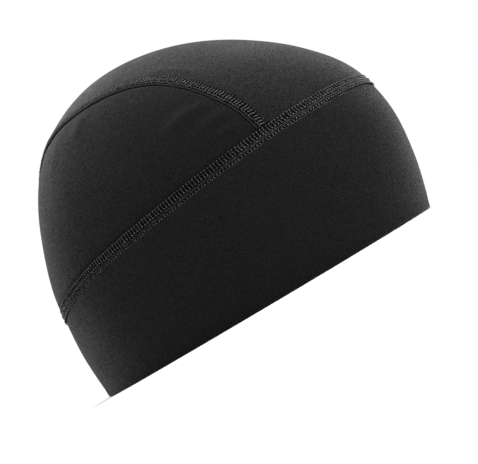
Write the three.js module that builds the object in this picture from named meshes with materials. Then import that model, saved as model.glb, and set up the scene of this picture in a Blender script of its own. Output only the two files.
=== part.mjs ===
import * as THREE from 'three';
import { mergeVertices } from 'three/addons/utils/BufferGeometryUtils.js';

// A close-fitting stretch beanie that stands on its rim, in millimetres.
// The front faces -Y, the wearer's right side faces -X and +Z is up.
// Every piece is cloth cut from one dome, and flat seams join the pieces.

// The dome's reach at the rim, measured from its upright axis
const rimFrontLength = 106;
const rimBackLength = 90;
const rimHalfWidth = 77;
const crownHeight = 138;

// The band of doubled cloth round the rim, up to the seam above it
const bandFrontHeight = 64.5;
const bandBackHeight = 38.5;
const bandWall = 2.2;

// The crown's cloth, and how far its top panel stands over the side panels
const crownWall = 1.3;
const topPanelLap = 0.5;

// The flat seams, with their rise over the side panels' cloth
const seamWidth = 5.8;
const seamWall = 2;
const seamRise = 0.7;

// The gap left between two neighbouring pieces
const clearance = 0.3;

// The dome's form, from the rim to the row under the summit, at equal steps of level.
// Each column is a share of the rim's reach in that direction.
const domeRows = [
  { front: 1.0, back: 1.0, side: 1.0 },
  { front: 1.068, back: 0.963, side: 1.075 },
  { front: 1.083, back: 0.887, side: 1.097 },
  { front: 1.011, back: 0.788, side: 1.05 },
  { front: 0.844, back: 0.683, side: 0.939 },
  { front: 0.634, back: 0.548, side: 0.774 },
  { front: 0.417, back: 0.376, side: 0.549 },
  { front: 0.203, back: 0.19, side: 0.287 },
];

// The middle of a crown seam. Turn is in degrees round the axis from the front.
// Lift is a share of the way from the band's seam to the summit.
const crownSeamRows = [
  { turn: 35, lift: 0 },
  { turn: 35.2, lift: 0.1 },
  { turn: 36.4, lift: 0.213 },
  { turn: 38.8, lift: 0.327 },
  { turn: 44, lift: 0.44 },
  { turn: 54.5, lift: 0.524 },
  { turn: 68, lift: 0.573 },
  { turn: 84, lift: 0.593 },
  { turn: 100, lift: 0.594 },
  { turn: 116, lift: 0.571 },
  { turn: 130, lift: 0.512 },
  { turn: 140, lift: 0.421 },
  { turn: 147, lift: 0.309 },
  { turn: 151, lift: 0.196 },
  { turn: 153, lift: 0.083 },
  { turn: 154, lift: 0 },
];

// How finely each piece is faceted
const ringSteps = 72;
const bandSteps = 6;
const seamSteps = 2;
const panelLengthSteps = 36;
const topPanelSteps = 16;
const sidePanelSteps = 9;

const quarterTurn = Math.PI / 2;
const probe = 1e-3;

// A smooth curve through one column of the dome's rows, which closes at the summit
function reachAt(column, level) {
  const values = domeRows.map((row) => row[column]);
  const count = values.length;
  const ends = [2 * values[0] - values[1], ...values, 0, -values[count - 1]];
  const place = level * count;
  const row = Math.min(Math.max(Math.floor(place), 0), count - 1);
  const t = place - row;
  const [a, b, c, d] = ends.slice(row, row + 4);
  return b + 0.5 * t * (c - a + t * (2 * a - 5 * b + 4 * c - d + t * (3 * (b - c) + d - a)));
}

// The dome seen from above as a flat map: the summit is its centre and the rim its unit circle
function onMap(turn, level) {
  return new THREE.Vector2(Math.sin(turn), -Math.cos(turn)).multiplyScalar(1 - level);
}

function levelOf(spot) {
  return 1 - spot.length();
}

function turnOf(spot) {
  return Math.atan2(spot.x, -spot.y);
}

// A point of the dome for a spot of the map
function onDome(spot) {
  const level = levelOf(spot);
  const turn = turnOf(spot);
  const towardsFront = Math.cos(turn);
  const [column, rimLength] = towardsFront > 0 ? ['front', rimFrontLength] : ['back', rimBackLength];
  return new THREE.Vector3(
    rimHalfWidth * reachAt('side', level) * Math.sin(turn),
    -rimLength * reachAt(column, level) * towardsFront,
    crownHeight * Math.sin(level * quarterTurn),
  );
}

// How the dome's point moves as the spot moves along x and along y
function slopesAt(spot) {
  return [new THREE.Vector2(probe, 0), new THREE.Vector2(0, probe)].map((move) => {
    const ahead = onDome(spot.clone().add(move));
    const behind = onDome(spot.clone().sub(move));
    return ahead.sub(behind).divideScalar(2 * probe);
  });
}

// The outward direction, which lies flat along the rim so that the fold is square to the floor
function outwardAt(spot) {
  const [alongX, alongY] = slopesAt(spot);
  const outward = alongX.cross(alongY);
  if (levelOf(spot) < probe) outward.z = 0;
  return outward.normalize();
}

// The spot that lies a distance to the left of a line on the cloth, measured on the dome
function besideLine(spot, direction, distance) {
  const [alongX, alongY] = slopesAt(spot);
  const forward = alongX.clone().multiplyScalar(direction.x).addScaledVector(alongY, direction.y);
  const left = outwardAt(spot).cross(forward).setLength(distance);
  const xx = alongX.dot(alongX);
  const xy = alongX.dot(alongY);
  const yy = alongY.dot(alongY);
  const lx = left.dot(alongX);
  const ly = left.dot(alongY);
  const scale = xx * yy - xy * xy;
  return new THREE.Vector2(
    spot.x + (lx * yy - ly * xy) / scale,
    spot.y + (ly * xx - lx * xy) / scale,
  );
}

// The level of the band seam's lower edge, plus a height on the cloth
function bandSeamLevel(turn, above) {
  const middle = (bandFrontHeight + bandBackHeight) / 2;
  const swing = (bandFrontHeight - bandBackHeight) / 2;
  const height = middle + swing * Math.cos(turn) + above;
  return Math.asin(height / crownHeight) / quarterTurn;
}

function onBandSeam(turn, above) {
  return onMap(turn, bandSeamLevel(turn, above));
}

const crownEdge = seamWidth + clearance;

// The middle line of the crown seam on the wearer's left
const crownSeamPath = new THREE.SplineCurve(crownSeamRows.map(({ turn, lift }) => {
  const angle = THREE.MathUtils.degToRad(turn);
  const start = bandSeamLevel(angle, crownEdge);
  return onMap(angle, start + lift * (1 - start));
}));

// A line beside the crown seam's middle, with both ends trimmed along the band's seam
function crownSeamSide(offset) {
  const line = [];
  for (let step = 0; step <= panelLengthSteps; step += 1) {
    const share = step / panelLengthSteps;
    const middle = crownSeamPath.getPointAt(share);
    line.push(besideLine(middle, crownSeamPath.getTangentAt(share), offset));
  }
  for (const end of [0, panelLengthSteps]) {
    line[end] = onBandSeam(turnOf(line[end]), crownEdge);
  }
  return line;
}

// A run of spots along the top of the band's seam between two turns
function alongBandSeam(fromTurn, toTurn, steps) {
  const line = [];
  for (let step = 0; step <= steps; step += 1) {
    line.push(onBandSeam(THREE.MathUtils.lerp(fromTurn, toTurn, step / steps), crownEdge));
  }
  return line;
}

// Rows of spots that fill the space between two lines with as many spots each
function rowsBetween(lower, upper, steps) {
  const rows = [];
  for (let step = 0; step <= steps; step += 1) {
    rows.push(lower.map((spot, i) => spot.clone().lerp(upper[i], step / steps)));
  }
  return rows;
}

function mirrored(rows) {
  return rows.map((row) => row.map((spot) => new THREE.Vector2(-spot.x, spot.y)).reverse());
}

// Rows of a ring between two edges, each given as a spot for every turn
function ringRows(lowerAt, upperAt, steps) {
  const turns = Array.from({ length: ringSteps }, (_, step) => (step / ringSteps) * 4 * quarterTurn);
  return rowsBetween(turns.map(lowerAt), turns.map(upperAt), steps);
}

// How far one spot of a line stands off the straight line between its ends
function bow(line, index) {
  const last = line.length - 1;
  const straight = line[0].clone().lerp(line[last], index / last);
  return line[index].clone().sub(straight);
}

// Rows across the top panel, bowed to follow the band's seam at the front and the back
function topPanelRows() {
  const left = crownSeamSide(seamWidth / 2 + clearance);
  const right = left.map((spot) => new THREE.Vector2(-spot.x, spot.y));
  const frontTurn = turnOf(left[0]);
  const backTurn = turnOf(left[panelLengthSteps]);
  const front = alongBandSeam(-frontTurn, frontTurn, topPanelSteps);
  const back = alongBandSeam(4 * quarterTurn - backTurn, backTurn, topPanelSteps);
  return left.map((leftEnd, row) => {
    const share = row / panelLengthSteps;
    return front.map((_, column) => {
      const spot = right[row].clone().lerp(leftEnd, column / topPanelSteps);
      spot.addScaledVector(bow(front, column), 1 - share);
      return spot.addScaledVector(bow(back, column), share);
    });
  });
}

// Rows of the left side panel, from the band's seam up to the crown seam
function sidePanelRows() {
  const upper = crownSeamSide(-seamWidth / 2 - clearance);
  const frontTurn = turnOf(upper[0]);
  const backTurn = turnOf(upper[panelLengthSteps]);
  const lower = alongBandSeam(frontTurn, backTurn, panelLengthSteps);
  return rowsBetween(lower, upper, sidePanelSteps);
}

// Rows of the left crown seam, from its lower edge to its upper edge
function crownSeamStrip() {
  return rowsBetween(crownSeamSide(-seamWidth / 2), crownSeamSide(seamWidth / 2), seamSteps);
}

// A closed piece of cloth over rows of spots: an outer face, an inner face and the cut edges.
// The outer face stands over the dome by the rise, and a ring's rows close on themselves.
function clothGeometry(rows, { rise, wall, ring }) {
  const positions = [];
  for (const offset of [rise, rise - wall]) {
    for (const row of rows) {
      for (const spot of row) {
        positions.push(...onDome(spot).addScaledVector(outwardAt(spot), offset).toArray());
      }
    }
  }
  const width = rows[0].length;
  const inner = rows.length * width;
  const lastRow = (rows.length - 1) * width;
  const faces = [];
  const quad = (a, b, c, d) => faces.push([a, b, c], [a, c, d]);
  for (let column = 0; column < (ring ? width : width - 1); column += 1) {
    const next = (column + 1) % width;
    for (let row = 0; row < lastRow; row += width) {
      const above = row + width;
      quad(row + column, row + next, above + next, above + column);
      quad(inner + row + column, inner + above + column, inner + above + next, inner + row + next);
    }
    quad(column, inner + column, inner + next, next);
    quad(lastRow + column, lastRow + next, inner + lastRow + next, inner + lastRow + column);
  }
  if (!ring) {
    const end = width - 1;
    for (let row = 0; row < lastRow; row += width) {
      quad(row, row + width, inner + row + width, inner + row);
      quad(row + end, inner + row + end, inner + row + width + end, row + width + end);
    }
  }
  const loose = new THREE.BufferGeometry();
  loose.setAttribute('position', new THREE.Float32BufferAttribute(positions, 3));
  loose.setIndex(faces.flat());
  const geometry = mergeVertices(loose, 1e-3);
  const corners = geometry.getIndex().array;
  const kept = faces.map((_, i) => [...corners.slice(3 * i, 3 * i + 3)]);
  geometry.setIndex(kept.filter(([a, b, c]) => a !== b && b !== c && c !== a).flat());
  geometry.computeVertexNormals();
  return geometry;
}

// The looks of the cloth and of the seams' thread
const brushedCloth = { color: 0x1c1c1d, roughness: 0.92, metalness: 0 };
const seamThread = { color: 0x26262a, roughness: 0.7, metalness: 0 };

const beanie = new THREE.Group();

function addPiece(name, rows, form, look) {
  const piece = new THREE.Mesh(clothGeometry(rows, form), new THREE.MeshStandardMaterial(look));
  piece.name = name;
  beanie.add(piece);
}

const bandForm = { rise: 0, wall: bandWall, ring: true };
const ringSeamForm = { rise: seamRise, wall: seamWall, ring: true };
const crownSeamForm = { rise: seamRise + topPanelLap / 2, wall: seamWall, ring: false };
const topForm = { rise: topPanelLap, wall: crownWall, ring: false };
const sideForm = { rise: 0, wall: crownWall, ring: false };

const rimEdge = (turn) => onMap(turn, 0);
const seamFoot = (turn) => onBandSeam(turn, 0);
const seamTop = (turn) => onBandSeam(turn, seamWidth);
const bandTop = (turn) => onBandSeam(turn, -clearance);

addPiece('band', ringRows(rimEdge, bandTop, bandSteps), bandForm, brushedCloth);
addPiece('band_seam', ringRows(seamFoot, seamTop, seamSteps), ringSeamForm, seamThread);
addPiece('top_panel', topPanelRows(), topForm, brushedCloth);

const leftPieces = [
  { name: 'side_panel', rows: sidePanelRows(), form: sideForm, look: brushedCloth },
  { name: 'crown_seam', rows: crownSeamStrip(), form: crownSeamForm, look: seamThread },
];
for (const { name, rows, form, look } of leftPieces) {
  addPiece(`${name}_left`, rows, form, look);
  addPiece(`${name}_right`, mirrored(rows), form, look);
}

// The origin is on the surface that the rim stands on, under the middle of the beanie's box
const middle = new THREE.Box3().setFromObject(beanie).getCenter(new THREE.Vector3());
beanie.position.y = -middle.y;

export default beanie;
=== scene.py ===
import math

import bpy
import numpy as np
from mathutils import Matrix, Vector


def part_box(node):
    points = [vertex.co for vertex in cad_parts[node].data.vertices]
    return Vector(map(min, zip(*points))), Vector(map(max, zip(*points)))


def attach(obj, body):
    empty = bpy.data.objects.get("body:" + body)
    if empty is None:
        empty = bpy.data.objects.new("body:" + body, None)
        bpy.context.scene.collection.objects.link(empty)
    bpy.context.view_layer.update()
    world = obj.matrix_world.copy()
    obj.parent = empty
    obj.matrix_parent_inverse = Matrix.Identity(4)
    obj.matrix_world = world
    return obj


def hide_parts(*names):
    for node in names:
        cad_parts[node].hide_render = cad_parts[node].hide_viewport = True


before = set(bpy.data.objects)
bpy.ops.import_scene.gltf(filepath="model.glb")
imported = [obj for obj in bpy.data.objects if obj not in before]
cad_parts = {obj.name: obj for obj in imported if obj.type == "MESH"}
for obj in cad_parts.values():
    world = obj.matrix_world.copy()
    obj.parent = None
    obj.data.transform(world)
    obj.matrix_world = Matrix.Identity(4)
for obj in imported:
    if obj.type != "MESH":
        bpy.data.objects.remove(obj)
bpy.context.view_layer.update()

# A close-fitting stretch beanie that stands on its rim.
# Lengths are in metres. The front faces -Y, the wearer's right faces -X and +Z is up.
MM = 0.001

# The dome and the seams, as the CAD source has them
RIM_FRONT = 106 * MM
RIM_BACK = 90 * MM
RIM_HALF_WIDTH = 77 * MM
CROWN_HEIGHT = 138 * MM
BAND_FRONT_HEIGHT = 64.5 * MM
BAND_BACK_HEIGHT = 38.5 * MM
BAND_WALL = 2.2 * MM
CROWN_WALL = 1.3 * MM
TOP_PANEL_LAP = 0.5 * MM
SEAM_WIDTH = 5.8 * MM
SEAM_WALL = 2.0 * MM
SEAM_RISE = 0.7 * MM
CROWN_SEAM_RISE = SEAM_RISE + TOP_PANEL_LAP / 2
CLEARANCE = 0.3 * MM
CROWN_EDGE = SEAM_WIDTH + CLEARANCE
FRONT_SHARES = np.array([1.0, 1.068, 1.083, 1.011, 0.844, 0.634, 0.417, 0.203])
BACK_SHARES = np.array([1.0, 0.963, 0.887, 0.788, 0.683, 0.548, 0.376, 0.19])
SIDE_SHARES = np.array([1.0, 1.075, 1.097, 1.05, 0.939, 0.774, 0.549, 0.287])
CROWN_SEAM_TURNS = [35, 35.2, 36.4, 38.8, 44, 54.5, 68, 84, 100, 116, 130, 140, 147, 151, 153, 154]
CROWN_SEAM_LIFTS = [
    0, 0.1, 0.213, 0.327, 0.44, 0.524, 0.573, 0.593, 0.594, 0.571, 0.512, 0.421, 0.309, 0.196, 0.083, 0,
]
SEAM_SAMPLES = 4001
AXIS_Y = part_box("band")[1].y - RIM_BACK
SEAM_KNOTS = 37

# The strips that carry the stitches are a little narrower than the seams, as the thread wraps their edges
STRIP_WIDTH = 5.3 * MM
STRIP_GAP = 0.12 * MM
STRIP_FOOT = (SEAM_WIDTH - STRIP_WIDTH) / 2
PANEL_FOOT = STRIP_FOOT + STRIP_WIDTH + STRIP_GAP


def blend(low, high, share):
    return low + (high - low) * share


def smooth_step(values, low, high):
    share = np.clip((values - low) / (high - low), 0, 1)
    return share * share * (3 - 2 * share)


def length_of(vectors):
    return np.linalg.norm(vectors, axis=-1)


# The dome

SLOPE_PROBE = 5e-4
RIM_UPRIGHT = 6 * MM


def reach_at(shares, level):
    count = len(shares)
    ends = np.concatenate([[2 * shares[0] - shares[1]], shares, [0, -shares[-1]]])
    place = level * count
    row = np.clip(np.floor(place), 0, count - 1).astype(int)
    t = place - row
    a, b, c, d = (ends[row + step] for step in range(4))
    return b + 0.5 * t * (c - a + t * (2 * a - 5 * b + 4 * c - d + t * (3 * (b - c) + d - a)))


def on_map(turn, level):
    return np.stack([np.sin(turn) * (1 - level), -np.cos(turn) * (1 - level)], -1)


def level_of(spots):
    return 1 - length_of(spots)


def turn_of(spots):
    return np.arctan2(spots[..., 0], -spots[..., 1])


def on_dome(spots):
    level = level_of(spots)
    turn = turn_of(spots)
    to_front = np.cos(turn)
    front = RIM_FRONT * reach_at(FRONT_SHARES, level)
    back = RIM_BACK * reach_at(BACK_SHARES, level)
    x = RIM_HALF_WIDTH * reach_at(SIDE_SHARES, level) * np.sin(turn)
    y = AXIS_Y - np.where(to_front > 0, front, back) * to_front
    return np.stack([x, y, CROWN_HEIGHT * np.sin(level * math.pi / 2)], -1)


def slopes_at(spots):
    probe = SLOPE_PROBE
    moves = np.array([[probe, 0], [0, probe]])
    return [(on_dome(spots + move) - on_dome(spots - move)) / (2 * probe) for move in moves]


def outward_at(spots):
    along_x, along_y = slopes_at(spots)
    outward = np.cross(along_x, along_y)
    outward /= length_of(outward)[..., None]
    height = CROWN_HEIGHT * np.sin(level_of(spots) * math.pi / 2)
    outward[..., 2] *= smooth_step(height, 0, RIM_UPRIGHT)
    return outward / length_of(outward)[..., None]


def beside(spots, directions, distance):
    along_x, along_y = slopes_at(spots)
    forward = along_x * directions[..., :1] + along_y * directions[..., 1:]
    left = np.cross(outward_at(spots), forward)
    left *= (distance / length_of(left))[..., None]
    xx = (along_x * along_x).sum(-1)
    xy = (along_x * along_y).sum(-1)
    yy = (along_y * along_y).sum(-1)
    lx = (left * along_x).sum(-1)
    ly = (left * along_y).sum(-1)
    move = np.stack([lx * yy - ly * xy, ly * xx - lx * xy], -1)
    return spots + move / (xx * yy - xy * xy)[..., None]


def curve_through(points, places):
    count = len(points) - 1
    place = places * count
    row = np.clip(np.floor(place), 0, count - 1).astype(int)
    t = (place - row)[:, None]
    a, b, c, d = (points[np.clip(row + step, 0, count)] for step in (-1, 0, 1, 2))
    return b + 0.5 * t * (c - a + t * (2 * a - 5 * b + 4 * c - d + t * (3 * (b - c) + d - a)))


# The seams' lines on the dome

def band_seam_level(turn, above):
    middle = (BAND_FRONT_HEIGHT + BAND_BACK_HEIGHT) / 2
    swing = (BAND_FRONT_HEIGHT - BAND_BACK_HEIGHT) / 2
    return np.arcsin((middle + swing * np.cos(turn) + above) / CROWN_HEIGHT) / (math.pi / 2)


def on_band_seam(turn, above):
    return on_map(turn, band_seam_level(turn, above))


def crown_seam_middle():
    turns = np.radians(CROWN_SEAM_TURNS)
    starts = band_seam_level(turns, CROWN_EDGE)
    knots = on_map(turns, starts + np.array(CROWN_SEAM_LIFTS) * (1 - starts))
    line = curve_through(knots, np.linspace(0, 1, SEAM_SAMPLES))
    travelled = np.concatenate([[0], np.cumsum(length_of(np.diff(line, axis=0)))])
    even = np.linspace(0, travelled[-1], SEAM_SAMPLES)
    return np.stack([np.interp(even, travelled, line[:, axis]) for axis in (0, 1)], -1)


CROWN_MIDDLE = crown_seam_middle()


def crown_line(offset, places):
    picks = np.linspace(0, len(CROWN_MIDDLE) - 1, SEAM_KNOTS).astype(int)
    directions = np.gradient(CROWN_MIDDLE, axis=0)
    knots = beside(CROWN_MIDDLE[picks], directions[picks], np.full(SEAM_KNOTS, offset))
    for end in (0, -1):
        knots[end] = on_band_seam(turn_of(knots[end]), PANEL_FOOT)
    return curve_through(knots, places)


# Grid spacing that is finer towards both ends

def spread(count, gather):
    even = np.linspace(0, 1, count + 1)
    return even - gather * np.sin(2 * math.pi * even) / (2 * math.pi)


# Soft irregular waves, the same on every run

def waves(points, shortest, longest, seed, count=14):
    picks = np.random.default_rng(seed)
    directions = picks.normal(size=(count, 3))
    directions /= length_of(directions)[:, None]
    steps = 2 * math.pi / picks.uniform(shortest, longest, count)
    starts = picks.uniform(0, 2 * math.pi, count)
    total = np.zeros(points.shape[:-1])
    for direction, step, start in zip(directions, steps, starts):
        total += np.sin(points @ (direction * step) + start)
    return total / math.sqrt(count / 2)


# How the cloth dips at a seam and puckers beside it
GROOVE_DEPTH = 0.55 * MM
GROOVE_REACH = 1.2 * MM
PUCKER_HEIGHT = 0.06 * MM
PUCKER_REACH = 5 * MM


def beside_seam(distance, foot, seed, depth=GROOVE_DEPTH, reach=GROOVE_REACH):
    dip = -depth * np.exp(-((distance / reach) ** 2))
    pucker = PUCKER_HEIGHT * waves(foot, 5 * MM, 14 * MM, seed)
    return dip + pucker * np.exp(-distance / PUCKER_REACH) * smooth_step(distance, 0, 1.5 * MM)


def fold(points, line, height, width):
    nearest = np.full(points.shape[:-1], 1e3)
    share = np.zeros(points.shape[:-1])
    for index, (start, end) in enumerate(zip(line[:-1], line[1:])):
        along = end - start
        place = np.clip(((points - start) @ along) / (along @ along), 0, 1)
        distance = length_of(points - start - place[..., None] * along)
        closer = distance < nearest
        nearest = np.where(closer, distance, nearest)
        share = np.where(closer, (index + place) / (len(line) - 1), share)
    fade = np.sin(math.pi * np.clip(share, 0.02, 0.98)) ** 0.7
    return height * fade * np.exp(-((nearest / width) ** 2))


# Meshes

def mesh_piece(name, points, faces, material, nodes):
    points = np.asarray(points, dtype=np.float64)
    keys = np.round(points * 1e7).astype(np.int64)
    _, first, inverse = np.unique(keys, axis=0, return_index=True, return_inverse=True)
    inverse = inverse.ravel()
    kept = []
    for face in np.asarray(faces):
        corners = list(dict.fromkeys(int(inverse[corner]) for corner in face))
        if len(corners) > 2:
            kept.append(corners)
    mesh = bpy.data.meshes.new(name)
    mesh.from_pydata(points[first].tolist(), [], kept)
    mesh.validate()
    mesh.polygons.foreach_set("use_smooth", [True] * len(mesh.polygons))
    mesh.materials.append(material)
    piece = bpy.data.objects.new(name, mesh)
    bpy.context.scene.collection.objects.link(piece)
    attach(piece, "root")
    if nodes:
        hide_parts(*nodes)
    return piece


def closed_grid(rows, columns, ring):
    inner = rows * columns
    last = columns if ring else columns - 1
    column = np.arange(last)
    after = (column + 1) % columns
    row = np.arange(rows - 1)[:, None] * columns
    next_row = row + columns
    outer_faces = np.stack([row + column, row + after, next_row + after, next_row + column], -1)
    inner_faces = inner + outer_faces[..., ::-1]
    top = (rows - 1) * columns
    low_edge = np.stack([column, inner + column, inner + after, after], -1)
    inner_top = inner + top
    high_edge = np.stack([top + column, top + after, inner_top + after, inner_top + column], -1)
    groups = [outer_faces.reshape(-1, 4), inner_faces.reshape(-1, 4), low_edge, high_edge]
    if not ring:
        start = np.arange(rows - 1) * columns
        end = start + columns - 1
        start_next = start + columns
        end_next = end + columns
        groups.append(np.stack([start, start_next, inner + start_next, inner + start], -1))
        groups.append(np.stack([end, inner + end, inner + end_next, end_next], -1))
    return np.concatenate(groups)


def cloth_piece(name, spots, outer, inner, ring, side, material, nodes):
    base = on_dome(spots)
    outward = outward_at(spots)
    points = np.concatenate([
        (base + outward * outer[..., None]).reshape(-1, 3),
        (base + outward * inner[..., None]).reshape(-1, 3),
    ])
    faces = closed_grid(spots.shape[0], spots.shape[1], ring)
    if side < 0:
        faces = faces[:, ::-1]
    return mesh_piece(name, points, faces, material, nodes)


TUBE_SIDES = 6


def tubes(centres, radii, outward):
    along = np.gradient(centres, axis=1)
    along /= length_of(along)[..., None]
    across = np.cross(outward, along)
    across /= length_of(across)[..., None]
    lift = np.cross(along, across)
    angles = np.arange(TUBE_SIDES) * 2 * math.pi / TUBE_SIDES
    ring = across[:, :, None] * np.cos(angles)[:, None] + lift[:, :, None] * np.sin(angles)[:, None]
    points = centres[:, :, None] + ring * radii[..., None, None]
    count, length = centres.shape[:2]
    corner = np.arange(TUBE_SIDES)
    after = (corner + 1) % TUBE_SIDES
    step = np.arange(length - 1)[:, None] * TUBE_SIDES
    next_step = step + TUBE_SIDES
    walls = np.stack([step + corner, step + after, next_step + after, next_step + corner], -1)
    top = (length - 1) * TUBE_SIDES
    low_caps = np.array([[3, 2, 1, 0], [5, 4, 3, 0]])
    high_caps = top + np.array([[0, 1, 2, 3], [0, 3, 4, 5]])
    faces = np.concatenate([walls.reshape(-1, 4), low_caps, high_caps])
    starts = np.arange(count)[:, None, None] * length * TUBE_SIDES
    return points.reshape(-1, 3), (faces + starts).reshape(-1, 4)


# Materials

# The part of a noise texture's range that most of its values fall in
NOISE_LOW = 0.32
NOISE_HIGH = 0.68

# Sizes of the cloth's nap, of the mottle in it and of its broad patches, each with its share of the mix
NAP_SCALE = 2100
NAP_SHARE = 0.82
MOTTLE_SCALE = 520
MOTTLE_SHARE = 0.12
BROAD_SCALE = 38
BROAD_SHARE = 0.06
NAP_BUMP = 0.25 * MM
CLOTH_SHEEN_ROUGHNESS = 0.44
CLOTH_SHEEN_TINT = (0.97, 0.98, 1.0, 1)

# The thread's twist, and where along Y its painted light begins and reaches full strength
TWIST_SCALE = 1500
TWIST_BUMP = 0.1 * MM
PAINTED_LIGHT_FROM_Y = -0.055
PAINTED_LIGHT_FULL_FROM_Y = -0.09


def new_material(name):
    material = bpy.data.materials.new(name)
    material.use_nodes = True
    nodes = material.node_tree.nodes
    nodes.clear()
    output = nodes.new("ShaderNodeOutputMaterial")
    shader = nodes.new("ShaderNodeBsdfPrincipled")
    material.node_tree.links.new(shader.outputs["BSDF"], output.inputs["Surface"])
    return material, nodes, material.node_tree.links, shader


def noise(nodes, links, vector, scale, detail, roughness):
    texture = nodes.new("ShaderNodeTexNoise")
    texture.inputs["Scale"].default_value = scale
    texture.inputs["Detail"].default_value = detail
    texture.inputs["Roughness"].default_value = roughness
    links.new(vector, texture.inputs["Vector"])
    return texture.outputs["Fac"]


def ramp(nodes, links, value, stops):
    texture = nodes.new("ShaderNodeValToRGB")
    for element, (place, grey) in zip(texture.color_ramp.elements, stops):
        element.position = place
        element.color = (grey[0], grey[1], grey[2], 1)
    links.new(value, texture.inputs["Fac"])
    return texture.outputs["Color"]


def math_node(nodes, links, operation, first, second):
    node = nodes.new("ShaderNodeMath")
    node.operation = operation
    for socket, value in zip(node.inputs, (first, second)):
        if isinstance(value, (int, float)):
            socket.default_value = value
        else:
            links.new(value, socket)
    return node.outputs[0]


def mapped(nodes, links, value, low, high):
    node = nodes.new("ShaderNodeMapRange")
    node.inputs["From Min"].default_value = NOISE_LOW
    node.inputs["From Max"].default_value = NOISE_HIGH
    node.inputs["To Min"].default_value = low
    node.inputs["To Max"].default_value = high
    links.new(value, node.inputs["Value"])
    return node.outputs["Result"]


def smooth_range(nodes, links, value, start, end, low, high):
    node = nodes.new("ShaderNodeMapRange")
    node.interpolation_type = "SMOOTHSTEP"
    node.inputs["From Min"].default_value = start
    node.inputs["From Max"].default_value = end
    node.inputs["To Min"].default_value = low
    node.inputs["To Max"].default_value = high
    links.new(value, node.inputs["Value"])
    return node.outputs["Result"]


def bumped(nodes, links, shader, value, strength, distance):
    bump = nodes.new("ShaderNodeBump")
    bump.inputs["Strength"].default_value = strength
    bump.inputs["Distance"].default_value = distance
    links.new(value, bump.inputs["Height"])
    links.new(bump.outputs["Normal"], shader.inputs["Normal"])


def brushed_cloth(name, dark, light, sheen):
    material, nodes, links, shader = new_material(name)
    place = nodes.new("ShaderNodeTexCoord").outputs["Object"]
    nap = noise(nodes, links, place, NAP_SCALE, 1, 0.5)
    mottle = noise(nodes, links, place, MOTTLE_SCALE, 2, 0.5)
    broad = noise(nodes, links, place, BROAD_SCALE, 2, 0.5)
    mix = math_node(nodes, links, "MULTIPLY", nap, NAP_SHARE)
    mix = math_node(nodes, links, "ADD", mix, math_node(nodes, links, "MULTIPLY", mottle, MOTTLE_SHARE))
    mix = math_node(nodes, links, "ADD", mix, math_node(nodes, links, "MULTIPLY", broad, BROAD_SHARE))
    colour = ramp(nodes, links, mix, [(0.4, dark), (0.6, light)])
    links.new(colour, shader.inputs["Base Color"])
    shader.inputs["Roughness"].default_value = 0.9
    shader.inputs["Specular IOR Level"].default_value = 0.0
    links.new(mapped(nodes, links, mix, sheen * 0.1, sheen * 1.9), shader.inputs["Sheen Weight"])
    shader.inputs["Sheen Roughness"].default_value = CLOTH_SHEEN_ROUGHNESS
    shader.inputs["Sheen Tint"].default_value = CLOTH_SHEEN_TINT
    bumped(nodes, links, shader, nap, 0.5, NAP_BUMP)
    return material


def thread_look(name, dark, light, painted_light_gain):
    material, nodes, links, shader = new_material(name)
    place = nodes.new("ShaderNodeTexCoord").outputs["Object"]
    twist = noise(nodes, links, place, TWIST_SCALE, 2, 0.5)
    colour = ramp(nodes, links, twist, [(0.35, dark), (0.65, light)])
    # Painted light: the thread's colour is painted lighter towards the front (-Y), where the light catches
    # it
    parts = nodes.new("ShaderNodeSeparateXYZ")
    links.new(place, parts.inputs[0])
    painted_light_scale = smooth_range(nodes, links, parts.outputs["Y"], PAINTED_LIGHT_FROM_Y, PAINTED_LIGHT_FULL_FROM_Y, 1.0, painted_light_gain)
    scaled = nodes.new("ShaderNodeVectorMath")
    scaled.operation = "SCALE"
    links.new(colour, scaled.inputs[0])
    links.new(painted_light_scale, scaled.inputs["Scale"])
    links.new(scaled.outputs["Vector"], shader.inputs["Base Color"])
    shader.inputs["Roughness"].default_value = 0.3
    shader.inputs["Specular IOR Level"].default_value = 0.6
    shader.inputs["Sheen Weight"].default_value = 0.08
    bumped(nodes, links, shader, twist, 0.4, TWIST_BUMP)
    return material


# The band, side and top panels are one cloth: the top's copy is painted lighter with more sheen as painted
# light from above, and the sides' copy a little darker as painted shade
BAND_LOOK = brushed_cloth("band cloth", (0.005, 0.005, 0.0051), (0.0085, 0.0085, 0.0087), 0.165)
SIDE_SHADED_LOOK = brushed_cloth("side cloth painted darker", (0.0045, 0.0045, 0.0046), (0.0075, 0.0075, 0.0077), 0.155)
TOP_LIT_LOOK = brushed_cloth("top cloth painted lighter", (0.0045, 0.0045, 0.0046), (0.0115, 0.0115, 0.0118), 0.22)
# Painted highlight: the folded lip's cloth is painted two to three times lighter than the top panel's, where
# its fold catches the light
LIP_HIGHLIGHT_LOOK = brushed_cloth("folded edge cloth with painted highlight", (0.009, 0.009, 0.0092), (0.023, 0.023, 0.0235), 0.15)
# Painted shade: the seams' strips are the panels' cloth painted near black, for the shade in the gaps
# between the threads
STRIP_SHADE_LOOK = brushed_cloth("seam cloth with painted shade", (0.001, 0.001, 0.0011), (0.004, 0.004, 0.0041), 0.05)
# Each thread's last number is the gain of its painted light towards the front
BAND_THREAD_LOOK = thread_look(
    "band seam thread", (0.007, 0.007, 0.0071), (0.0165, 0.0165, 0.0168), 4.9)
# Painted light: the crown seams' thread is the band seam's thread painted about three times lighter, where
# the light from above catches it
CROWN_THREAD_LIT_LOOK = thread_look(
    "crown seam thread painted lighter", (0.026, 0.026, 0.0263), (0.054, 0.054, 0.055), 1.3)

# The camera and the stage

CAMERA_PLACE = Vector((-0.556938, -0.4159, 0.01))
CAMERA_AIM = Vector((0.0037, -0.00033, 0.03754))
CAMERA_ROLL = math.radians(30.854)
LENS_MM = 106.41
SENSOR_MM = 36

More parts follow.
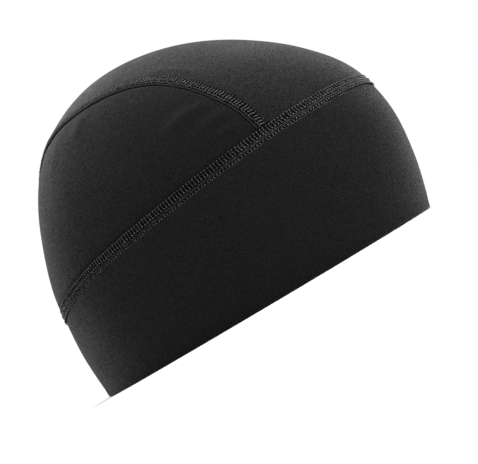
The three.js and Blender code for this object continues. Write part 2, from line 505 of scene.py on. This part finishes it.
ahead = (CAMERA_AIM - CAMERA_PLACE).normalized()
level_right = ahead.cross(Vector((0, 0, 1))).normalized()
level_up = level_right.cross(ahead)
camera_x = level_right * math.cos(CAMERA_ROLL) - level_up * math.sin(CAMERA_ROLL)
camera_y = level_right * math.sin(CAMERA_ROLL) + level_up * math.cos(CAMERA_ROLL)
camera_data = bpy.data.cameras.new("camera")
camera_data.lens = LENS_MM
camera_data.sensor_width = SENSOR_MM
camera_data.clip_start = 0.01
camera = bpy.data.objects.new("camera", camera_data)
axes = Matrix((camera_x, camera_y, -ahead)).transposed().to_4x4()
camera.matrix_world = Matrix.Translation(CAMERA_PLACE) @ axes
bpy.context.scene.collection.objects.link(camera)
bpy.context.scene.camera = camera
bpy.context.scene.view_settings.view_transform = "Standard"

FLOOR_HALF = 1.5
FADE_START = 0.55
FADE_END = 1.35
WORLD_LIGHT = 0.19
SOFTBOX_SIZE = 1.1
LIGHT_DISTANCE = 1.7
LIGHT_CENTRE = Vector((0, 0, 0.05))
LIGHT_AIM = Vector((0, 0, 0.07))

# Each softbox's name, turn round the hat and lift in degrees, and power in watts
SOFTBOXES = (
    ("overhead softbox", 0, 80, 20),
    ("left softbox", -173, 36, 20),
    ("right softbox", -7, 27, 37),
    ("back softbox", 87, 40, 5),
)


def studio_floor():
    half = FLOOR_HALF
    corners = [(-half, -half, 0), (half, -half, 0), (half, half, 0), (-half, half, 0)]
    mesh = bpy.data.meshes.new("floor")
    mesh.from_pydata(corners, [], [(0, 1, 2, 3)])
    material, nodes, links, shader = new_material("pale floor")
    shader.inputs["Base Color"].default_value = (0.95, 0.95, 0.95, 1)
    shader.inputs["Roughness"].default_value = 0.9
    shader.inputs["Specular IOR Level"].default_value = 0.0
    # The floor fades out into the white background well away from the hat
    place = nodes.new("ShaderNodeTexCoord").outputs["Object"]
    distance = nodes.new("ShaderNodeVectorMath")
    distance.operation = "LENGTH"
    links.new(place, distance.inputs[0])
    fade = smooth_range(nodes, links, distance.outputs["Value"], FADE_START, FADE_END, 1.0, 0.0)
    links.new(fade, shader.inputs["Alpha"])
    mesh.materials.append(material)
    floor = bpy.data.objects.new("floor", mesh)
    bpy.context.scene.collection.objects.link(floor)


def soft_light(name, turn, lift, power):
    flat = math.cos(lift)
    way = Vector((math.sin(turn) * flat, -math.cos(turn) * flat, math.sin(lift)))
    place = way * LIGHT_DISTANCE + LIGHT_CENTRE
    data = bpy.data.lights.new(name, "AREA")
    data.shape = "RECTANGLE"
    data.size = SOFTBOX_SIZE
    data.size_y = SOFTBOX_SIZE
    data.energy = power
    light = bpy.data.objects.new(name, data)
    light.location = place
    light.rotation_mode = "QUATERNION"
    light.rotation_quaternion = (LIGHT_AIM - place).to_track_quat("-Z", "Y")
    bpy.context.scene.collection.objects.link(light)


def white_world():
    world = bpy.data.worlds.new("white studio")
    bpy.context.scene.world = world
    world.use_nodes = True
    nodes = world.node_tree.nodes
    links = world.node_tree.links
    background = nodes["Background"]
    background.inputs["Color"].default_value = (1, 1, 1, 1)
    # The backdrop looks white, and lights the hat less than the softboxes do
    seen = nodes.new("ShaderNodeLightPath").outputs["Is Camera Ray"]
    links.new(math_node(nodes, links, "MAXIMUM", seen, WORLD_LIGHT), background.inputs["Strength"])


studio_floor()
white_world()
for name, turn, lift, power in SOFTBOXES:
    soft_light(name, math.radians(turn), math.radians(lift), power)

# The band of doubled cloth round the rim

BAND_COLUMNS = 600
BAND_ROWS = 56
BEND_ROWS = 11
INNER_STEP = 4
FOLD_RADIUS = BAND_WALL / 2

# How much closer the band's rows lie towards its seam
ROW_GATHER = 0.12

# The band's waves: a short set that fades out at the seam and the rim, and a long one
BAND_WAVE = 0.16 * MM
BAND_LONG_WAVE = 0.10 * MM


def height_level(height):
    return np.arcsin(height / CROWN_HEIGHT) / (math.pi / 2)


def band_waves(base, heights, from_top):
    short_wave = BAND_WAVE * waves(base, 28 * MM, 75 * MM, 12)
    short_wave = short_wave * smooth_step(from_top, 0, 12 * MM) * smooth_step(heights, 2 * MM, 14 * MM)
    long_wave = BAND_LONG_WAVE * waves(base, 90 * MM, 160 * MM, 13)
    return short_wave + long_wave * smooth_step(heights, 0, 8 * MM)


def build_band():
    turn = np.linspace(0, 2 * math.pi, BAND_COLUMNS, endpoint=False)
    top = CROWN_HEIGHT * np.sin(band_seam_level(turn, STRIP_FOOT - STRIP_GAP) * math.pi / 2)
    share = np.linspace(0, 1, BAND_ROWS)[:, None]
    share = np.clip(share + ROW_GATHER * np.sin(math.pi * share) * share, 0, 1)
    wall_heights = FOLD_RADIUS + (top - FOLD_RADIUS) * share
    spots = on_map(np.broadcast_to(turn, wall_heights.shape), height_level(wall_heights))
    base = on_dome(spots)
    outward = outward_at(spots)
    from_top = length_of(base - base[-1])
    offset = beside_seam(from_top, np.broadcast_to(base[-1], base.shape), 11)
    offset = offset + band_waves(base, wall_heights, from_top)
    outer = base + outward * offset[..., None]
    inner_spots = spots[::INNER_STEP]
    inner = on_dome(inner_spots) - outward_at(inner_spots) * BAND_WALL
    bend = np.linspace(0, math.pi, BEND_ROWS)[1:-1, None]
    bend_heights = np.broadcast_to(FOLD_RADIUS * (1 - np.sin(bend)), (len(bend), BAND_COLUMNS))
    bend_offsets = np.broadcast_to(FOLD_RADIUS * (np.cos(bend) - 1), (len(bend), BAND_COLUMNS))
    bend_spots = on_map(np.broadcast_to(turn, bend_heights.shape), height_level(bend_heights))
    bend_points = on_dome(bend_spots) + outward_at(bend_spots) * bend_offsets[..., None]
    rows = np.concatenate([outer[::-1], bend_points, inner])
    count = len(rows)
    column = np.arange(BAND_COLUMNS)
    after = (column + 1) % BAND_COLUMNS
    row = np.arange(count)[:, None] * BAND_COLUMNS
    next_row = (np.arange(count)[:, None] + 1) % count * BAND_COLUMNS
    faces = np.stack([row + column, next_row + column, next_row + after, row + after], -1)
    points = rows.reshape(-1, 3)
    return mesh_piece("band_cloth", points, faces.reshape(-1, 4), BAND_LOOK, ["band"])


band = build_band()

# The flat seams: a strip of overlapping cloth under rows of thread, painted near black as painted shade
# between the threads

# Places across a strip, from its lower edge at -1 to its upper edge at 1
STRIP_ACROSS = np.array([-1, -0.985, -0.95, -0.9, -0.82, -0.6, -0.3, 0, 0.3, 0.6, 0.82, 0.9, 0.95, 0.985, 1])
STRIP_BULGE = 0.3 * MM
STRIP_EDGE_DROP = 0.55 * MM
STRIP_SINK = 0.1 * MM

# How far the crown's strips are lifted at their lower and upper edges
CROWN_STRIP_LOW = 0.35 * MM
CROWN_STRIP_HIGH = 0.5 * MM
BAND_SEAM_COLUMNS = 900
CROWN_SEAM_COLUMNS = 361


def strip_heights(across):
    bulge = 1 - across ** 4
    roll = smooth_step(np.abs(across), 0.86, 1.0)
    return STRIP_BULGE * bulge - STRIP_EDGE_DROP * roll - STRIP_SINK


def build_band_seam():
    turn = np.linspace(0, 2 * math.pi, BAND_SEAM_COLUMNS, endpoint=False)
    across = np.broadcast_to(STRIP_ACROSS[:, None], (len(STRIP_ACROSS), BAND_SEAM_COLUMNS))
    above = STRIP_FOOT + STRIP_WIDTH * (across + 1) / 2
    spots = on_band_seam(np.broadcast_to(turn, above.shape), above)
    inner = np.full(above.shape, SEAM_RISE - SEAM_WALL)
    return cloth_piece(
        "band_seam_strip", spots, strip_heights(across), inner, True, 1, STRIP_SHADE_LOOK,
        ["band_seam"])


def build_crown_seam(side, name):
    places = np.linspace(0, 1, CROWN_SEAM_COLUMNS)
    lower = crown_line(-STRIP_WIDTH / 2, places)
    upper = crown_line(STRIP_WIDTH / 2, places)
    share = (STRIP_ACROSS + 1) / 2
    spots = lower * (1 - share[:, None, None]) + upper * share[:, None, None]
    spots = spots * np.array([side, 1])
    rise = strip_heights(STRIP_ACROSS) + blend(CROWN_STRIP_LOW, CROWN_STRIP_HIGH, share)
    outer = np.broadcast_to(rise[:, None], spots.shape[:2])
    inner = np.full(outer.shape, CROWN_SEAM_RISE - SEAM_WALL)
    return cloth_piece(
        f"crown_seam_{name}_strip", spots, outer, inner, False, side, STRIP_SHADE_LOOK,
        [f"crown_seam_{name}"])


build_band_seam()

# The crown's panels

# Rows or columns of the panels along the crown seams, and across the panels
ALONG_CELLS = 230
TOP_ACROSS_CELLS = 110
SIDE_ACROSS_CELLS = 64
ALONG_GATHER = 0.8
ACROSS_GATHER = 0.85

# The dips along the panels' edges, each with a reach where it isn't the usual one
TOP_SIDE_DIP = 0.12 * MM
TOP_END_DIP = 0.3 * MM
SIDE_LOW_DIP = 0.45 * MM
SIDE_HIGH_DIP = 0.5 * MM
SIDE_HIGH_REACH = 0.7 * MM
TOP_WAVE = 0.2 * MM
SIDE_WAVE = 0.16 * MM

# A soft pucker beside each crown seam, where it turns over the forehead
PUCKER_RIDGE_OFFSET = 8.5 * MM
PUCKER_RIDGE_PLACES = np.array([0.15, 0.19, 0.23, 0.27])
PUCKER_RIDGE_HEIGHT = 0.35 * MM
PUCKER_RIDGE_WIDTH = 3 * MM

# Small folds on the side panels: turns in degrees, levels, and height and width in millimetres.
# The first three run back from the crown seam near the band's seam, and the others lie further back.
SIDE_FOLDS = [
    ([57.0, 48.5, 38.6], [0.438, 0.456, 0.454], 0.75, 3.4),
    ([48.6, 42.0, 36.5], [0.396, 0.408, 0.409], 0.6, 2.8),
    ([48.7, 42.5, 38.0], [0.366, 0.363, 0.352], 0.4, 2.2),
    ([77.5, 80.5, 84.5], [0.672, 0.64, 0.59], 0.5, 3.4),
    ([97.0, 98.5, 100.0], [0.67, 0.61, 0.55], 0.3, 2.6),
]


def top_panel_spots():
    rows = spread(ALONG_CELLS, ALONG_GATHER)
    columns = spread(TOP_ACROSS_CELLS, ACROSS_GATHER)
    left = crown_line(STRIP_WIDTH / 2 + STRIP_GAP, rows)
    right = left * np.array([-1, 1])
    front_turn = turn_of(left[0])
    back_turn = turn_of(left[-1])
    front = on_band_seam(blend(-front_turn, front_turn, columns), PANEL_FOOT)
    back = on_band_seam(blend(2 * math.pi - back_turn, back_turn, columns), PANEL_FOOT)

    def bow(line):
        return line - (line[0] + (line[-1] - line[0]) * columns[:, None])

    share = rows[:, None, None]
    across = columns[None, :, None]
    spots = right[:, None] * (1 - across) + left[:, None] * across
    return spots + bow(front) * (1 - share) + bow(back) * share


def build_top_panel():
    spots = top_panel_spots()
    base = on_dome(spots)
    offset = np.full(spots.shape[:2], TOP_PANEL_LAP)
    edges = (
        (base[:, :1], TOP_SIDE_DIP),
        (base[:, -1:], TOP_SIDE_DIP),
        (base[:1], TOP_END_DIP),
        (base[-1:], TOP_END_DIP),
    )
    for index, (edge, depth) in enumerate(edges):
        foot = np.broadcast_to(edge, base.shape)
        offset = offset + beside_seam(length_of(base - foot), foot, 21 + index, depth)
    offset = offset + TOP_WAVE * waves(base, 35 * MM, 90 * MM, 26)
    ridge = crown_line(PUCKER_RIDGE_OFFSET, PUCKER_RIDGE_PLACES)
    for side in (1, -1):
        ridge_points = on_dome(ridge * np.array([side, 1]))
        offset = offset + fold(base, ridge_points, PUCKER_RIDGE_HEIGHT, PUCKER_RIDGE_WIDTH)
    inner = np.full(offset.shape, TOP_PANEL_LAP - CROWN_WALL)
    return cloth_piece(
        "top_panel_cloth", spots, offset, inner, False, 1, TOP_LIT_LOOK, ["top_panel"])


def build_side_panel(side, name, seed):
    rows = spread(SIDE_ACROSS_CELLS, ACROSS_GATHER)
    columns = spread(ALONG_CELLS, ALONG_GATHER)
    upper = crown_line(-STRIP_WIDTH / 2 - STRIP_GAP, columns)
    lower = on_band_seam(blend(turn_of(upper[0]), turn_of(upper[-1]), columns), PANEL_FOOT)
    share = rows[:, None, None]
    spots = lower * (1 - share) + upper * share
    spots = spots * np.array([side, 1])
    base = on_dome(spots)
    low_foot = np.broadcast_to(base[:1], base.shape)
    high_foot = np.broadcast_to(base[-1:], base.shape)
    from_high = length_of(base - high_foot)
    offset = beside_seam(length_of(base - low_foot), low_foot, seed, SIDE_LOW_DIP)
    offset = offset + beside_seam(from_high, high_foot, seed + 1, SIDE_HIGH_DIP, SIDE_HIGH_REACH)
    offset = offset + SIDE_WAVE * waves(base, 30 * MM, 80 * MM, seed + 2)
    for turns, levels, height, width in SIDE_FOLDS:
        fold_spots = on_map(np.radians(turns) * side, np.array(levels))
        offset = offset + fold(base, on_dome(fold_spots), height * MM, width * MM)
    inner = np.full(offset.shape, -CROWN_WALL)
    return cloth_piece(
        f"side_panel_{name}_cloth", spots, offset, inner, False, side, SIDE_SHADED_LOOK,
        [f"side_panel_{name}"])


top_panel = build_top_panel()
for side, name, seed in ((1, "left", 31), (-1, "right", 41)):
    build_side_panel(side, name, seed)
    build_crown_seam(side, name)

# The stitches of the flat seams

STITCH_PITCH = 1.65 * MM
STITCH_SHRINK = 0.94
CROWN_THREAD_LIFT = 0.3 * MM
THREAD_END_SHARE = 0.6

# How far the crown's threads keep off the band's seam
THREAD_ROOM = 0.3 * MM

# How uneven the stitches are: the start as a share of the pitch, the wander across the seam and in height,
# and the thickness as a share. The crown's stitches are less even than the band's.
START_JITTER = 0.035
WANDER = 0.06 * MM
HEIGHT_JITTER = 0.03 * MM
RADIUS_JITTER = 0.1
BAND_UNEVENNESS = 1
CROWN_UNEVENNESS = 1.8

# The folded lip at the lower edge of each crown seam, its cloth painted lighter as a painted highlight
LIP_ACROSS = -2.45 * MM
LIP_LIFT = 0.12 * MM
LIP_RADIUS = 0.43 * MM
LIP_ROOM = 0.45 * MM
LIP_END = 0.6 * MM
LIP_POINTS = 420


class SeamLine:
    def __init__(self, spots):
        self.spots = spots
        points = on_dome(spots)
        self.travelled = np.concatenate([[0], np.cumsum(length_of(np.diff(points, axis=0)))])
        self.directions = np.gradient(spots, axis=0)
        self.length = self.travelled[-1]

    def along_table(self, along, table):
        return np.stack([np.interp(along, self.travelled, table[:, axis]) for axis in (0, 1)], -1)

    def at(self, along, across, height):
        spot = self.along_table(along, self.spots)
        spot = beside(spot, self.along_table(along, self.directions), across)
        outward = outward_at(spot)
        return on_dome(spot) + outward * height[..., None], outward, spot


# Each thread of one stitch: its points as along, across and height in millimetres, then its radius.
# Along runs with the seam, and across rises towards the crown or, on a crown seam, towards the top panel.
BAND_STITCH = [
    ([(-0.2, 2.58, 0.1), (-0.1, 2.7, 0.4), (0, 2.76, 0.48), (0.1, 2.72, 0.4), (0.2, 2.64, 0.1)], 0.28),
    ([(-0.16, 2.4, 0.1), (-0.08, 1.9, 0.24), (0.02, 1.2, 0.3), (0.12, 0.5, 0.3)], 0.13),
    ([(-0.66, 2.3, 0.0), (-0.55, 1.7, 0.1), (-0.45, 1.1, 0.1), (-0.38, 0.6, 0.0)], 0.08),
    ([(0, 0.16, 0.2), (0.08, 0.08, 0.5), (0.18, 0.02, 0.56), (0.28, -0.04, 0.5), (0.36, -0.12, 0.2)], 0.3),
    ([(0.25, -0.3, 0.2), (0.5, -1.2, 0.24), (0.85, -2.3, 0.14)], 0.11),
    ([(-0.62, -0.2, 0.15), (-0.37, -1.2, 0.22), (-0.02, -2.3, 0.14)], 0.1),
    ([
        (-0.2, -2.62, 0.1), (-0.1, -2.72, 0.42), (0, -2.78, 0.48), (0.1, -2.74, 0.42), (0.2, -2.66, 0.1),
    ], 0.27),
]
CROWN_STITCH = [
    ([(-0.1, 2.5, 0.1), (-0.04, 2.66, 0.24), (0.02, 2.82, 0.0)], 0.22),
    ([(-0.54, 2.2, 0.1), (-0.4, 1.8, 0.3), (-0.16, 1.1, 0.38), (0.08, 0.4, 0.38), (0.26, -0.3, 0.18)], 0.15),
    ([(-0.36, 1.6, 0.3), (-0.28, 1.3, 0.48), (-0.2, 1.0, 0.3)], 0.24),
    ([(0.08, 0.2, 0.25), (0.22, -0.15, 0.48), (0.34, -0.5, 0.2)], 0.3),
    ([(0.4, -0.9, 0.1), (0.5, -1.35, 0.3), (0.58, -1.8, 0.1)], 0.19),
    ([(-0.44, -0.7, 0.1), (-0.34, -1.2, 0.28), (-0.24, -1.7, 0.1)], 0.17),
]


def room_above_band(spots, keep_off):
    return level_of(spots) - band_seam_level(turn_of(spots), SEAM_WIDTH + keep_off)


def build_stitches(name, line, ring, stitch, lift, side, trim, look, unevenness):
    count = round(line.length / STITCH_PITCH)
    pitch = line.length / count
    picks = np.random.default_rng(len(name))
    starts = (np.arange(count) + 0.5) * pitch
    starts = starts + picks.normal(0, START_JITTER * unevenness, count) * pitch
    all_points = []
    all_faces = []
    total = 0
    for thread, radius in stitch:
        shape = np.array(thread) * MM * np.array([STITCH_SHRINK, STITCH_SHRINK, 1])
        along = starts[:, None] + shape[:, 0]
        if ring:
            along = along % line.length
        across = shape[:, 1] + picks.normal(0, WANDER * unevenness, (count, 1))
        height = shape[:, 2] + lift + picks.normal(0, HEIGHT_JITTER, (count, 1))
        centres, outward, spots = line.at(along, across, height)
        if side < 0:
            centres = centres * np.array([-1, 1, 1])
            outward = outward * np.array([-1, 1, 1])
        if trim:
            keep = room_above_band(spots, THREAD_ROOM).min(axis=1) > 0
            centres = centres[keep]
            outward = outward[keep]
        taper = np.ones(len(thread))
        taper[[0, -1]] = THREAD_END_SHARE
        thickness = 1 + picks.normal(0, RADIUS_JITTER * unevenness, (len(centres), 1))
        radii = radius * MM * taper * thickness
        points, faces = tubes(centres, radii, outward)
        all_points.append(points)
        all_faces.append(faces + total)
        total += len(points)
    faces = np.concatenate(all_faces)
    return mesh_piece(name, np.concatenate(all_points), faces, look, [])


def build_lip(name, line, side):
    along = np.linspace(LIP_END, line.length - LIP_END, LIP_POINTS)[None]
    across = np.full(along.shape, LIP_ACROSS)
    centres, outward, spots = line.at(along, across, np.full(along.shape, LIP_LIFT))
    keep = room_above_band(spots, LIP_ROOM)[0] > 0
    mirror = np.array([side, 1, 1])
    radii = np.full((1, keep.sum()), LIP_RADIUS)
    points, faces = tubes(centres[:, keep] * mirror, radii, outward[:, keep] * mirror)
    return mesh_piece(name, points, faces, LIP_HIGHLIGHT_LOOK, [])


RING_SAMPLES = 3001
ring_turns = np.linspace(0, 2 * math.pi, RING_SAMPLES)
band_line = SeamLine(on_band_seam(ring_turns, SEAM_WIDTH / 2))
build_stitches(
    "band_seam_stitches", band_line, True, BAND_STITCH, 0, 1, False, BAND_THREAD_LOOK, BAND_UNEVENNESS)
crown_seam_line = SeamLine(CROWN_MIDDLE)
for side, name in ((1, "left"), (-1, "right")):
    build_stitches(
        f"crown_seam_{name}_stitches", crown_seam_line, False, CROWN_STITCH, CROWN_THREAD_LIFT, side, True,
        CROWN_THREAD_LIT_LOOK, CROWN_UNEVENNESS)
    build_lip(f"crown_seam_{name}_lip", crown_seam_line, side)
